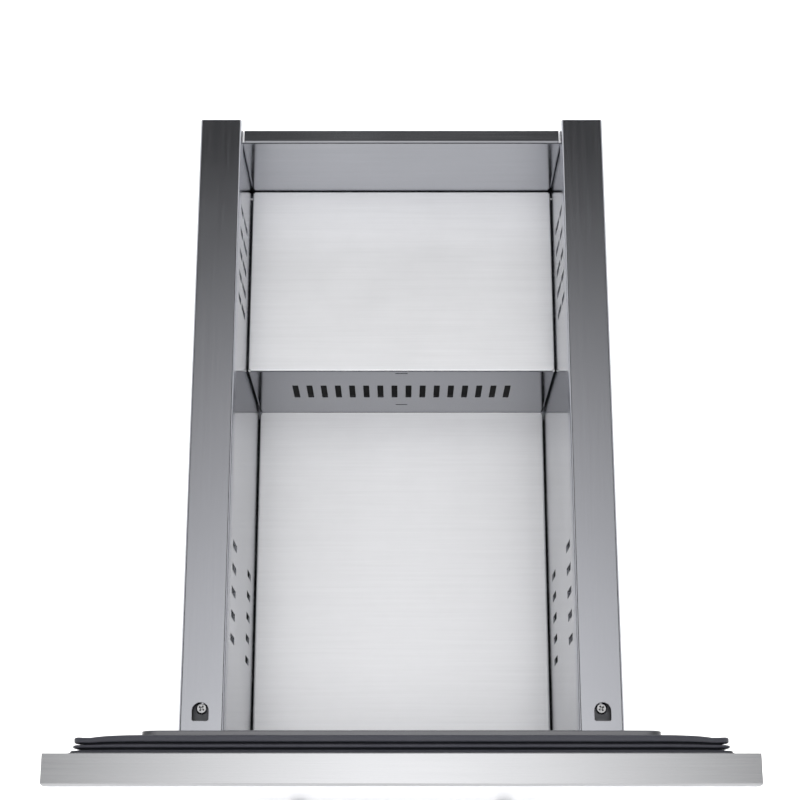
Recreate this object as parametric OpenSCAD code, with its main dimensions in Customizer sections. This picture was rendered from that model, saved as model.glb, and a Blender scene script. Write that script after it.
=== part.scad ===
// Pull-out drawer bin of a 15 inch undercounter drawer refrigerator.
// A stainless bin with a stepped floor hangs between two covered rails behind an insulated front,
// and runs on a pair of full-extension ball slides.
// Millimetres. X runs from left to right, +Y from the front to the back, +Z is up.
// The modules are written with y = 0 on the front's face and z = 0 on the bin's floor. in_frame()
// then moves each piece so that the origin is the bottom centre of the whole drawer's box.

/* [Front] */
// Width of the front
front_w = 376; // [370:1:400]
// Height of the front
front_h = 362.7; // [362:0.1:372]
// Height of the bin's floor above the front's bottom edge
floor_rise = 45; // [44.5:0.1:48]
// Depth of the steel pan
pan_depth = 16.8; // [15:0.1:20]
// Thickness of the front's steel sheet
skin_t = 0.8; // [0.6:0.1:1]
// Outside radius of the pan's folded edges
skin_bend_r = 1.8; // [1.2:0.1:2.5]

/* [Liner and gasket] */
// Distance from the pan's sides to the gasket
gasket_inset = 13; // [12:0.5:14]
// Width of the gasket's band
gasket_band = 12; // [10:0.5:12]
// Depth of the relaxed gasket
gasket_depth = 9.2; // [9:0.1:12]
// Thickness of the plastic liner
liner_t = 1.4; // [1.2:0.1:2]
// Width of the liner's plug
plug_w = 283; // [276:1:290]
// Distance from the pan's top and bottom to the plug
plug_inset = 27.7; // [26.5:0.1:30]
// Distance from the front's face to the plug's back
plug_back = 31; // [30:0.5:34]

/* [Bin] */
// Width between the two side panels
bin_w = 214; // [208:1:218]
// Thickness of the bin's sheet
sheet_t = 1; // [0.8:0.1:1.2]
// Outside radius of the sheet's bends
bend_r = 1.6; // [1.5:0.1:2.4]
// Distance from the front's face to the riser
riser_y = 292.8; // [285:0.1:300]
// Height of the raised deck above the floor
deck_h = 103.3; // [100:0.1:106]
// Distance from the front's face to the back wall
back_y = 428; // [426:1:430]
// Height of the back wall's top above the floor
back_h = 183; // [170:1:190]
// Gap between the floor's edges and the side panels
floor_gap = 0.6; // [0.6:0.1:2.2]

/* [Rails] */
// Height of the rail covers' top above the floor
rail_h = 197.6; // [196:0.1:202]
// Width of each rail cover
rail_w = 27; // [24:0.5:28]
// Distance from the front's face to the rail covers' rear ends
rail_end = 438; // [420:1:440]
// Height of the inner lip
rail_lip = 14; // [10:0.5:14]
// Height of the outer flange
rail_flange = 46; // [30:1:50]
// Width of the D-shaped window
window_w = 10.1; // [9:0.1:11]
// Length of the D-shaped window
window_l = 11; // [10:0.1:12]
// Distance from the front's face to the window
window_y = 45; // [44:0.5:47]

/* [Vents] */
// Number of slots in the riser
riser_slots = 16; // [8:1:18]
// Pitch of the riser's slots
riser_pitch = 10.1; // [9:0.1:10.5]
// Width of each riser slot
riser_slot_w = 4.3; // [3:0.1:5]
// Height of each riser slot
riser_slot_h = 29.8; // [20:0.1:34]
// Number of slots in each row of the side panels
side_slots = 5; // [3:1:5]
// Width of each side slot
side_slot_w = 4.8; // [3:0.1:6]
// Height of each side slot
side_slot_h = 25; // [15:1:25]

/* [Slides] */
// Length of each slide member
slide_l = 400; // [396:1:402]
// Height of the slides' centre line above the floor
slide_z = 95; // [93:1:97]
// Travel of the drawer
travel = 375; // [340:5:375]
// Distance from the fixed members to the cabinet's walls
standoff = 24.3; // [20:0.1:25]

/* [Handle] */
// Distance between the handle's posts
post_pitch = 128; // [96:32:160]
// Length of the handle's bar
handle_l = 200; // [180:5:300]
// Diameter of the handle's bar
handle_d = 12; // [10:0.5:14]
// Distance from the front's face to the bar's axis
handle_reach = 34; // [30:1:40]
// Distance from the front's top edge down to the bar's axis
handle_drop = 181; // [60:1:190]

/* [Hidden] */
$fn = 48;

steel = "#b9bbc0";
dark_steel = "#8b8e95";
zinc = "#a7a9a4";
black_plastic = "#202124";
black_rubber = "#3a3b40";

// How far a cutting shape runs past the sheet it cuts
over = 1;

// Front: heights of its edges, and of its parts, above the floor
front_z0 = -floor_rise;
front_z1 = front_h - floor_rise;
seal_y = pan_depth + liner_t;
gasket_w = front_w - 2 * gasket_inset;
gasket_z0 = front_z0 + gasket_inset;
gasket_z1 = front_z1 - gasket_inset;
gasket_r = 5;
gasket_in_r = 1.5;
liner_margin = 2;
liner_r = 6;
rim_w = gasket_inset + 1.5;
rim = rim_w + skin_t;
plug_z0 = front_z0 + plug_inset;
plug_z1 = front_z1 - plug_inset;
plug_wall = 2.5;
plug_r = 9;
dart_w = 3;
dart_h = 6;
groove_wall = 1.2;
groove_play = 0.5;
dart_inset = (gasket_band - dart_w) / 2;
groove_inset = dart_inset - groove_play - groove_wall;
groove_w = dart_w + 2 * groove_play + 2 * groove_wall;
groove_y0 = seal_y - dart_h - 1;
magnet_w = 6;
magnet_t = 2;
magnet_cover = 0.8;
magnet_gap = 4;
magnet_y = seal_y + gasket_depth - magnet_cover - magnet_t;

// Bin
half_bin = bin_w / 2;
panel_out = half_bin + sheet_t;
floor_half = half_bin - floor_gap;
bin_y0 = plug_back;
side_y0 = bin_y0 + sheet_t;
side_y1 = back_y + 10;
side_top = rail_h - 2.6;
flange_h = 13;
floor_y0 = side_y0;
deck_y1 = back_y - 0.2;
rear_step_y = riser_y + 12;
rear_step_z = 62;
return_w = 13;
angle_z = deck_h - flange_h;
rivet_r = 2;
rivet_head_r = 3.4;
small_rivet_r = 1.6;
small_head_r = 2.8;
head_t = 1;
edge_rivet_x = half_bin - 8;
floor_rivet_y = [70, 165, 260];
angle_rivet_y = [330, 400];
front_rivet_z = [68, 122];
back_rivet_z = [125, 165];
fold_rivet_dy = 6;
lip_rivet_x = [-80, 0, 80];
lip_rivet_drop = 8;
angle_y = [riser_y + 14, back_y - 1];
angle_h = 18;
angle_rivet_z = angle_z - angle_h / 2;
riser_return = 10;
front_top = side_top - 14;
front_fold = 10;
back_bottom = deck_h - flange_h - 2;

// Vents: first column from the front's face, pitch, and heights of the rows above the floor
front_vents = [100.6, 14.9];
front_vent_rows = [47.5, 151];
rear_vents = [324, 15.4];
rear_vent_rows = [140, 170];
side_slot_r = 1;
riser_slot_z = 54.8;
riser_slot_r = 0.7;
notch_w = 8.6;
notch_h = 1.5;
notch_z = [21.4, deck_h - 4.9];

// Rails and brackets
rail_in = half_bin - sheet_t;
rail_out = rail_in + rail_w;
rail_y0 = bin_y0 + 2;
bracket_t = 2;
bracket_out = rail_out - 1.5;
bracket_top = rail_h - 8.4;
bracket_len = 21;
tab_len = 35;
bracket_foot = 2;
bracket_wings = [[4, 62], [128, bracket_top]];
window_x = rail_in + 14.2;
window_corner_r = 1.2;
lock_screw_y = window_y + 8;
lock_screw_turn = 35;
bracket_screw_x = panel_out + 11.5;
bracket_screw_z = [20, 95, 165];
screw_r = 2;
lock_screw_l = 9;
lock_head_r = 3.5;
bracket_screw_l = 15;
bracket_head_r = 3.8;
screw_head_h = 2.4;
head_chamfer = 0.8;
recess_w = 0.9;
recess_depth = 1.4;
bracket_rivet_y = bin_y0 + 12;
bracket_rivet_z = [20, 45, 135, 165];
plate_y = 20;
plate_t = 3;
plate_half_w = 12;
plate_z = [8, 177];

// Slides: distances outwards from a side panel's outer face, and half heights
member_t = 1.2;
slide_y0 = bin_y0 + 7;
slide_y1 = slide_y0 + slide_l;
slide_depth = 12.7;
inner_ball_r = 1.6;
outer_ball_r = 2;
race_slack = 0.1;
race_depth = 0.4;
drawer_half = 14.5;
mid_in_half = drawer_half + 2 * (inner_ball_r - race_depth);
mid_out_half = mid_in_half + member_t;
cab_in_half = mid_out_half + 2 * (outer_ball_r - race_depth);
cab_half = cab_in_half + member_t;
inner_ball_z = drawer_half - race_depth + inner_ball_r;
outer_ball_z = mid_out_half - race_depth + outer_ball_r;
inner_ball_s = 5.2;
outer_ball_s = 7.2;
inner_cage_s = 8;
outer_cage_s = 10.7;
drawer_flange_s = 7.2;
mid_web_s = 9.3;
mid_lip_s = 3;
cab_lip_s = 1.6;
cage_t = 0.6;
cage_lip = 0.8;
pocket_play = 0.05;
stop_t = 0.8;
stop_l = 7;
stop_half = 9;
cage_y0 = slide_y0 + travel / 4 + 10;
cage_l = 190;
ball_pitch = 20;
ball_count = 10;
member_rivet_y = [65, 215, 405];

// Release levers
lever_y = slide_y0 + 290;
lever_pin_r = 1.5;
lever_t = 2;
lever_play = 0.1;
lever_boss_r = 4.5;
lever_arm = 42;
lever_half = 3;
lever_tail = 16;
lever_tail_half = 2;
pivot_head_r = 2.6;
pivot_head_t = 0.8;

// Stand-off brackets
standoff_t = 1.5;
cab_face = panel_out + slide_depth;
wall_x = cab_face + standoff;
wall_hole_r = 2.75;
wall_hole_dy = 320;
wall_hole_dz = 20;
wall_hole_y = slide_y0 + slide_l / 2;
wall_hole_z = 55;
standoff_y = [slide_y0 + 7, slide_y1 - 3];
standoff_rivet_y = [62, 240, 418];
shelf_z = slide_z - 19;
standoff_foot_z = 36;
standoff_top = slide_z + 16;

// Handle
handle_z = front_z1 - handle_drop;
bar_chamfer = 1;
post_r = 5;
spigot_start = 14;
stud_r = 3;
stud_reach = 12;
stud_tail = 3;
set_screw_r = 1.5;
set_screw_y = -6;
socket_r = 0.75;
socket_depth = 1;
handle_plate_t = 3;
handle_plate_end = 22;
handle_plate_half = 16;

// How far the studs and the bracket screws reach from the front's face
stud_end = skin_t + handle_plate_t + stud_tail;
bracket_screw_end = bin_y0 + bracket_t - bracket_screw_l;

// Middle of the whole drawer from the front to the back
mid_y = (max(side_y1, slide_y1) - handle_reach - handle_d / 2) / 2;

// ---- Shared shapes ----

// Moves a piece from the working origin to the drawer's own origin
module in_frame() {
    translate([0, -mid_y, floor_rise]) children();
}

// A piece of the left side, drawn as its right-hand twin
module left() {
    mirror([1, 0, 0]) children();
}

// A piece and its mirror image on the other side
module both() {
    children();
    mirror([1, 0, 0]) children();
}

// Extrudes a flat outline given in X and Z along Y
module along_y(y0, y1) {
    translate([0, y1, 0]) rotate([90, 0, 0]) linear_extrude(y1 - y0) children();
}

// Extrudes a flat outline given in Y and Z along X
module along_x(x0, x1) {
    translate([x0, 0, 0]) rotate([90, 0, 90]) linear_extrude(x1 - x0) children();
}

// Extrudes a flat outline given in X and Y along Z
module along_z(z0, z1) {
    translate([0, 0, z0]) linear_extrude(z1 - z0) children();
}

// Box between two opposite corners
module block(low, high) {
    translate(low) cube(high - low);
}

// Rectangle between two opposite corners
module patch(low, high) {
    translate(low) square(high - low);
}

// Rectangle with round corners between two opposite corners
module rounded(low, high, r) {
    patch([low.x + r, low.y], [high.x - r, high.y]);
    patch([low.x, low.y + r], [high.x, high.y - r]);
    for (x = [low.x + r, high.x - r], y = [low.y + r, high.y - r])
        translate([x, y]) circle(r);
}

// Quarter ring of a sheet's bend about its centre, turned anticlockwise by quarter turns
module bend(centre, turns, r = bend_r, t = sheet_t) {
    translate(centre) rotate(90 * turns) intersection() {
        difference() {
            circle(r);
            circle(r - t);
        }
        square(r + 1);
    }
}

// Round bar along X, Y or Z from a point
module bar_x(r, p, l) {
    translate(p) rotate([0, 90, 0]) cylinder(r = r, h = l);
}
module bar_y(r, p, l) {
    translate(p) rotate([-90, 0, 0]) cylinder(r = r, h = l);
}
module bar_z(r, p, l) {
    translate(p) cylinder(r = r, h = l);
}

// ---- Insulated front ----

// Solid of the pan's outside, brought in by an inset on the face, sides, top and bottom
module pan_solid(inset, y1) {
    r = skin_bend_r - inset;
    w = front_w / 2 - inset;
    z0 = front_z0 + inset;
    z1 = front_z1 - inset;
    intersection() {
        along_x(-w, w) {
            rounded([inset, z0], [y1 + 10, z1], r);
        }
        along_z(z0, z1) {
            rounded([-w, inset], [w, y1 + 10], r);
        }
        block([-w, inset, z0], [w, y1, z1]);
    }
}

// Places of the handle's two posts
module stud_places() {
    for (x = [-post_pitch / 2, post_pitch / 2])
        translate([x, 0, handle_z]) children();
}

module front_skin() {
    color(steel) difference() {
        pan_solid(0, pan_depth);
        pan_solid(skin_t, pan_depth - skin_t);
        block([rim - front_w / 2, skin_t, front_z0 + rim],
              [front_w / 2 - rim, pan_depth + over, front_z1 - rim]);
        stud_places() bar_y(stud_r + 0.2, [0, -over, 0], skin_t + 2 * over);
    }
}

// Flat frame with round corners round the liner's plug, at a distance from the gasket's edge
module seal_ring(inset, band) {
    w = gasket_w / 2 - inset;
    z0 = gasket_z0 + inset;
    z1 = gasket_z1 - inset;
    r = gasket_r - min(inset, gasket_r - 2);
    difference() {
        rounded([-w, z0], [w, z1], r);
        rounded([band - w, z0 + band], [w - band, z1 - band], gasket_in_r);
    }
}

module door_gasket() {
    color(black_rubber) difference() {
        union() {
            along_y(seal_y, seal_y + gasket_depth) seal_ring(0, gasket_band);
            along_y(seal_y - dart_h, seal_y + over) seal_ring(dart_inset, dart_w);
        }
        magnet_bars();
    }
}

// The four magnet strips: two upright and two level
module magnet_bars() {
    half = magnet_w / 2;
    centre = gasket_band / 2;
    run = gasket_band + magnet_gap;
    x = gasket_w / 2 - centre;
    y1 = magnet_y + magnet_t;
    both() block([x - half, magnet_y, gasket_z0 + run], [x + half, y1, gasket_z1 - run]);
    for (z = [gasket_z0 + centre, gasket_z1 - centre])
        block([run - gasket_w / 2, magnet_y, z - half], [gasket_w / 2 - run, y1, z + half]);
}

module gasket_magnets() {
    color("#2c2c2e") magnet_bars();
}

// Block of the plug between the liner's flange and a depth, brought in by an inset
module plug_solid(inset, y0, y1) {
    along_y(y0, y1) rounded([inset - plug_w / 2, plug_z0 + inset],
                            [plug_w / 2 - inset, plug_z1 - inset], plug_r - inset);
}

// Channel in the liner that holds the gasket's dart, brought in by an inset
module groove_solid(inset, y0, y1) {
    along_y(y0, y1) seal_ring(groove_inset + inset, groove_w - 2 * inset);
}

module front_liner() {
    m = liner_margin;
    color(black_plastic) difference() {
        union() {
            along_y(pan_depth, seal_y)
                rounded([-gasket_w / 2 - m, gasket_z0 - m], [gasket_w / 2 + m, gasket_z1 + m],
                        liner_r);
            plug_solid(0, pan_depth, plug_back);
            groove_solid(0, groove_y0 - groove_wall, seal_y);
        }
        plug_solid(plug_wall, pan_depth - over, plug_back - plug_wall);
        groove_solid(groove_wall, groove_y0, seal_y + over);
        bracket_screw_places()
            bar_y(screw_r, [0, plug_back - plug_wall - over, 0], plug_wall + 2 * over);
    }
}

// Places of the screws that hold the two front brackets
module bracket_screw_places() {
    both() for (z = bracket_screw_z)
        translate([bracket_screw_x, 0, z]) children();
}

// The two steel plates in the foam, without their holes
module bracket_plate_solids() {
    both() block([bracket_screw_x - plate_half_w, plate_y, plate_z[0]],
                 [bracket_screw_x + plate_half_w, plate_y + plate_t, plate_z[1]]);
}

module bracket_backing_plates() {
    color(zinc) difference() {
        bracket_plate_solids();
        bracket_screw_places() bar_y(screw_r, [0, plate_y - over, 0], plate_t + 2 * over);
    }
}

// The steel strip behind the skin, without its holes
module handle_plate_solid() {
    half = post_pitch / 2 + handle_plate_end;
    block([-half, skin_t, handle_z - handle_plate_half],
          [half, skin_t + handle_plate_t, handle_z + handle_plate_half]);
}

module handle_backing_plate() {
    color(zinc) difference() {
        handle_plate_solid();
        stud_places() bar_y(stud_r, [0, 0, 0], stud_end + over);
    }
}

module front_foam() {
    color("#e8dfb8") difference() {
        union() {
            pan_solid(skin_t, pan_depth - skin_t);
            block([rim - front_w / 2, pan_depth - over, front_z0 + rim],
                  [front_w / 2 - rim, pan_depth, front_z1 - rim]);
            plug_solid(plug_wall, pan_depth - over, plug_back - plug_wall);
        }
        groove_solid(0, groove_y0 - groove_wall, seal_y + over);
        handle_plate_solid();
        bracket_plate_solids();
        bracket_screw_places() bar_y(screw_r, [0, bracket_screw_end - over, 0], plug_back);
        stud_places() bar_y(stud_r, [0, 0, 0], stud_end + over);
    }
}

// ---- Handle ----

module handle_bar() {
    r = handle_d / 2;
    c = bar_chamfer;
    color(steel) difference() {
        union() {
            bar_x(r, [c - handle_l / 2, -handle_reach, handle_z], handle_l - 2 * c);
            both() translate([handle_l / 2 - c, -handle_reach, handle_z])
                rotate([0, 90, 0]) cylinder(r1 = r, r2 = r - c, h = c);
        }
        stud_places() bar_y(stud_r, [0, -handle_reach, 0], handle_d);
    }
}

module handle_posts() {
    r = handle_d / 2;
    color(steel) stud_places() difference() {
        union() {
            difference() {
                bar_y(post_r, [0, -handle_reach, 0], handle_reach);
                bar_x(r, [-handle_l, -handle_reach, 0], 2 * handle_l);
            }
            bar_y(stud_r, [0, -handle_reach, 0], handle_reach - spigot_start);
        }
        bar_y(stud_r, [0, -stud_reach, 0], stud_reach + over);
        bar_z(set_screw_r, [0, set_screw_y, -post_r - over], post_r);
    }
}

module handle_studs() {
    color(zinc) stud_places() bar_y(stud_r, [0, -stud_reach, 0], stud_reach + stud_end);
}

module handle_set_screws() {
    color(dark_steel) stud_places() difference() {
        bar_z(set_screw_r, [0, set_screw_y, -post_r + 0.2], post_r - 0.2 - stud_r);
        bar_z(socket_r, [0, set_screw_y, -post_r], socket_depth + 0.2, $fn = 6);
    }
}

// ---- Bin ----

// Upright slots in a side panel, from the first column's place and the pitch, in rows
module side_vents(columns, rows) {
    w = side_slot_w / 2;
    h = side_slot_h / 2;
    for (i = [0 : side_slots - 1], z = rows)
        translate([columns[0] + i * columns[1], z]) rounded([-w, -h], [w, h], side_slot_r);
}

// Bore along X through the right side panel and the sheet inside it
module side_bore(r, y, z) {
    bar_x(r, [half_bin - sheet_t - over, y, z], 2 * (sheet_t + over));
}

module right_side_panel() {
    color(steel) difference() {
        union() {
            along_x(half_bin, panel_out) difference() {
                union() {
                    patch([side_y0, bend_r - flange_h - sheet_t], [rear_step_y, side_top]);
                    patch([rear_step_y, rear_step_z], [side_y1, side_top]);
                }
                side_vents(front_vents, front_vent_rows);
                side_vents(rear_vents, rear_vent_rows);
            }
            along_y(side_y0 + 1, rear_step_y - 2) {
                bend([panel_out - bend_r, bend_r - flange_h - sheet_t], 3);
                patch([panel_out - return_w, -flange_h - sheet_t],
                      [panel_out - bend_r, -flange_h]);
            }
        }
        for (z = bracket_rivet_z)
            side_bore(rivet_r, bracket_rivet_y, z);
        for (y = member_rivet_y)
            side_bore(rivet_r, y, slide_z);
        for (y = angle_rivet_y)
            side_bore(rivet_r, y, angle_rivet_z);
        for (y = floor_rivet_y)
            bar_z(rivet_r, [edge_rivet_x, y, -flange_h - sheet_t - over], sheet_t + 2 * over);
        panel_rivet_places() side_bore(small_rivet_r, 0, 0);
    }
}

module left_side_panel() {
    left() right_side_panel();
}

// Outline of the folded floor in Y and Z: front lip, floor, riser, deck and rear lip
module floor_outline() {
    lip_z = -flange_h;
    in_r = bend_r - sheet_t;
    patch([floor_y0, lip_z], [floor_y0 + sheet_t, -bend_r]);
    bend([floor_y0 + bend_r, -bend_r], 1);
    patch([floor_y0 + bend_r, -sheet_t], [riser_y - in_r, 0]);
    bend([riser_y - in_r, in_r], 3);
    patch([riser_y, in_r], [riser_y + sheet_t, deck_h - bend_r]);
    bend([riser_y + bend_r, deck_h - bend_r], 1);
    patch([riser_y + bend_r, deck_h - sheet_t], [deck_y1 - bend_r, deck_h]);
    bend([deck_y1 - bend_r, deck_h - bend_r], 0);
    patch([deck_y1 - sheet_t, deck_h + lip_z], [deck_y1, deck_h - bend_r]);
}

// Folded side edge in X and Z that hangs below a level sheet and turns in at its foot
module hanging_edge(top) {
    foot = top - flange_h;
    bend([floor_half - bend_r, top - bend_r], 0);
    patch([floor_half - sheet_t, foot + bend_r], [floor_half, top - bend_r]);
    bend([floor_half - bend_r, foot + bend_r], 3);
    patch([floor_half - return_w, foot], [floor_half - bend_r, foot + sheet_t]);
}

module stepped_floor() {
    first = -(riser_slots - 1) * riser_pitch / 2;
    edge = floor_half - bend_r;
    color(steel) difference() {
        union() {
            along_x(-edge, edge) floor_outline();
            both() {
                along_y(floor_y0 + bend_r, riser_y - bend_r) hanging_edge(0);
                along_y(riser_y + bend_r, deck_y1 - bend_r) hanging_edge(deck_h);
                along_z(bend_r, deck_h - bend_r) {
                    bend([edge, riser_y + bend_r], 3);
                    patch([floor_half - sheet_t, riser_y + bend_r],
                          [floor_half, riser_y + riser_return]);
                }
            }
        }
        along_y(riser_y - over, riser_y + sheet_t + over) {
            for (i = [0 : riser_slots - 1])
                translate([first + i * riser_pitch, riser_slot_z])
                    rounded([-riser_slot_w / 2, -riser_slot_h / 2],
                            [riser_slot_w / 2, riser_slot_h / 2], riser_slot_r);
            for (z = notch_z)
                translate([0, z]) patch([-notch_w / 2, -notch_h / 2], [notch_w / 2, notch_h / 2]);
        }
        back_rivet_places() lip_bore(back_y);
        front_rivet_places() lip_bore(side_y0);
        both() {
            for (y = floor_rivet_y)
                bar_z(rivet_r, [edge_rivet_x, y, -flange_h - over], sheet_t + 2 * over);
            for (y = angle_rivet_y)
                bar_z(rivet_r, [edge_rivet_x, y, angle_z - over], sheet_t + 2 * over);
        }
    }
}

// Places of the rivets through the deck's rear lip and the floor's front lip
module back_rivet_places() {
    for (x = lip_rivet_x)
        translate([x, 0, deck_h - lip_rivet_drop]) children();
}
module front_rivet_places() {
    for (x = lip_rivet_x)
        translate([x, 0, -lip_rivet_drop]) children();
}

// Bore along Y through two sheets that meet at a distance from the front's face
module lip_bore(y) {
    bar_y(small_rivet_r, [0, y - sheet_t - over, 0], 2 * (sheet_t + over));
}

// Places of the rivets through the right side panel and the front and back panels' folded sides
module panel_rivet_places() {
    for (z = front_rivet_z)
        translate([0, bin_y0 + fold_rivet_dy, z]) children();
    for (z = back_rivet_z)
        translate([0, back_y + fold_rivet_dy, z]) children();
}

module back_panel() {
    edge = half_bin - bend_r;
    color(steel) difference() {
        union() {
            along_z(back_bottom, back_h - bend_r) {
                patch([-edge, back_y], [edge, back_y + sheet_t]);
                for (side = [0, 1]) mirror([side, 0]) {
                    bend([edge, back_y + bend_r], 3);
                    patch([half_bin - sheet_t, back_y + bend_r], [half_bin, side_y1 - 1]);
                }
            }
            along_x(-edge, edge) {
                bend([back_y + bend_r, back_h - bend_r], 1);
                patch([back_y + bend_r, back_h - sheet_t], [side_y1 - 1, back_h]);
            }
        }
        back_rivet_places() lip_bore(back_y);
        both() panel_rivet_places() side_bore(small_rivet_r, 0, 0);
    }
}

module bin_front_panel() {
    edge = half_bin - bend_r;
    top = front_top;
    color(steel) difference() {
        union() {
            along_z(-flange_h + 1, top - bend_r) patch([-edge, bin_y0], [edge, side_y0]);
            along_z(3, top - bend_r) for (side = [0, 1]) mirror([side, 0]) {
                bend([edge, bin_y0 + bend_r], 3);
                patch([half_bin - sheet_t, bin_y0 + bend_r], [half_bin, bin_y0 + front_fold]);
            }
            along_x(-edge, edge) {
                bend([bin_y0 + bend_r, top - bend_r], 1);
                patch([bin_y0 + bend_r, top - sheet_t], [bin_y0 + front_fold, top]);
            }
        }
        front_rivet_places() lip_bore(side_y0);
        both() panel_rivet_places() side_bore(small_rivet_r, 0, 0);
    }
}

// Angles riveted to the side panels that carry the deck's folded edges
module deck_support_angles() {
    color(dark_steel) both() difference() {
        along_y(angle_y[0], angle_y[1]) {
            patch([half_bin - sheet_t, angle_z - angle_h], [half_bin, angle_z - bend_r]);
            bend([half_bin - bend_r, angle_z - bend_r], 0);
            patch([half_bin - return_w, angle_z - sheet_t], [half_bin - bend_r, angle_z]);
        }
        for (y = angle_rivet_y) {
            side_bore(rivet_r, y, angle_rivet_z);
            bar_z(rivet_r, [edge_rivet_x, y, angle_z - sheet_t - over], sheet_t + 2 * over);
        }
    }
}

// Rivets that hold the angles to the side panels, and the floor and the deck to their ledges
module floor_rivets() {
    color(zinc) both() {
        for (y = angle_rivet_y) {
            bar_x(rivet_r, [half_bin - sheet_t, y, angle_rivet_z], 2 * sheet_t);
            bar_x(rivet_head_r, [half_bin - sheet_t - head_t, y, angle_rivet_z], head_t);
            ledge_rivet([edge_rivet_x, y, angle_z]);
        }
        for (y = floor_rivet_y)
            ledge_rivet([edge_rivet_x, y, -flange_h]);
    }
}

// Upright rivet through two sheets that meet at a point, with its head below them
module ledge_rivet(p) {
    translate(p) {
        bar_z(rivet_r, [0, 0, -sheet_t], 2 * sheet_t);
        bar_z(rivet_head_r, [0, 0, -sheet_t - head_t], head_t);
    }
}

module front_panel_rivets() {
    color(zinc) {
        front_rivet_places() {
            bar_y(small_rivet_r, [0, bin_y0, 0], 2 * sheet_t);
            bar_y(small_head_r, [0, side_y0 + sheet_t, 0], head_t);
        }
        both() for (z = front_rivet_z)
            side_rivet([half_bin, bin_y0 + fold_rivet_dy, z]);
    }
}

module back_panel_rivets() {
    color(zinc) {
        back_rivet_places() {
            bar_y(small_rivet_r, [0, deck_y1 - sheet_t, 0], back_y - deck_y1 + 2 * sheet_t);
            bar_y(small_head_r, [0, back_y + sheet_t, 0], head_t);
        }
        both() for (z = back_rivet_z)
            side_rivet([half_bin, back_y + fold_rivet_dy, z]);
    }
}

// Level rivet through a folded side and the right side panel, with its head outside
module side_rivet(p) {
    translate(p) {
        bar_x(small_rivet_r, [-sheet_t, 0, 0], 2 * sheet_t);
        bar_x(small_head_r, [sheet_t, 0, 0], head_t);
    }
}

// ---- Rails and front brackets ----

// D-shaped window: a half circle at the back and two small round corners at the front
module rail_window() {
    r = window_w / 2;
    straight = window_y + window_l - r;
    translate([window_x, straight]) circle(r);
    rounded([window_x - r, window_y], [window_x + r, straight], window_corner_r);
    patch([window_x - r, straight - window_corner_r], [window_x + r, straight]);
}

module right_rail_cover() {
    color(steel) difference() {
        along_y(rail_y0, rail_end) {
            patch([rail_in, rail_h - rail_lip], [rail_in + sheet_t, rail_h - bend_r]);
            bend([rail_in + bend_r, rail_h - bend_r], 1);
            patch([rail_in + bend_r, rail_h - sheet_t], [rail_out - bend_r, rail_h]);
            bend([rail_out - bend_r, rail_h - bend_r], 0);
            patch([rail_out - sheet_t, rail_h - rail_flange], [rail_out, rail_h - bend_r]);
        }
        along_z(rail_h - sheet_t - over, rail_h + over) rail_window();
    }
}

module left_rail_cover() {
    left() right_rail_cover();
}

module right_front_bracket() {
    y1 = bin_y0 + bracket_t;
    color(dark_steel) difference() {
        union() {
            block([panel_out, bin_y0, bracket_foot], [bracket_out, y1, bracket_top]);
            for (z = bracket_wings)
                block([panel_out, bin_y0, z[0]],
                      [panel_out + bracket_t, bin_y0 + bracket_len, z[1]]);
            block([panel_out, bin_y0, bracket_top - bracket_t],
                  [bracket_out, bin_y0 + tab_len, bracket_top]);
        }
        for (z = bracket_screw_z)
            bar_y(screw_r, [bracket_screw_x, bin_y0 - over, z], bracket_t + 2 * over);
        for (z = bracket_rivet_z)
            bar_x(rivet_r, [panel_out - over, bracket_rivet_y, z], bracket_t + 2 * over);
        bar_z(screw_r, [window_x, lock_screw_y, bracket_top - bracket_t - over],
              bracket_t + 2 * over);
    }
}

module left_front_bracket() {
    left() right_front_bracket();
}

// Screw with a chamfered head and a cross recess on a plain shank, pointing up from the origin
module pan_screw(shank_l, head_r) {
    shoulder = screw_head_h - head_chamfer;
    arm = head_r / 2;
    difference() {
        union() {
            bar_z(screw_r, [0, 0, -shank_l], shank_l);
            bar_z(head_r, [0, 0, 0], shoulder);
            translate([0, 0, shoulder])
                cylinder(r1 = head_r, r2 = head_r - head_chamfer, h = head_chamfer);
        }
        for (turn = [0, 90])
            rotate(turn) block([-arm, -recess_w / 2, screw_head_h - recess_depth],
                               [arm, recess_w / 2, screw_head_h + over]);
    }
}

module rail_lock_screws() {
    color(steel) both() translate([window_x, lock_screw_y, bracket_top])
        rotate(lock_screw_turn) pan_screw(lock_screw_l, lock_head_r);
}

module front_bracket_screws() {
    color(zinc) bracket_screw_places() translate([0, bin_y0 + bracket_t, 0])
        rotate([-90, 0, 0]) pan_screw(bracket_screw_l, bracket_head_r);
}

module bracket_rivets() {
    color(zinc) both() for (z = bracket_rivet_z) {
        bar_x(rivet_r, [half_bin, bracket_rivet_y, z], sheet_t + bracket_t);
        bar_x(rivet_head_r, [panel_out + bracket_t, bracket_rivet_y, z], head_t);
    }
}

// ---- Slides, drawn for the right side ----

// Places an outline given as distance out from the side panel and height from the slide's centre
module slide_section(y0, y1) {
    translate([panel_out, 0, slide_z]) along_y(y0, y1) children();
}

// Two equal flanges above and below the slide's centre line
module flange_pair(s0, s1, z0, z1) {
    patch([s0, z0], [s1, z1]);
    patch([s0, -z1], [s1, -z0]);
}

// Outlines of the balls' tracks above and below the centre line
module race_pair(ball_s, ball_z, ball_r) {
    for (z = [-ball_z, ball_z])
        translate([ball_s, z]) circle(ball_r + race_slack);
}

module inner_races() {
    race_pair(inner_ball_s, inner_ball_z, inner_ball_r);
}

module outer_races() {
    race_pair(outer_ball_s, outer_ball_z, outer_ball_r);
}

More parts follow.
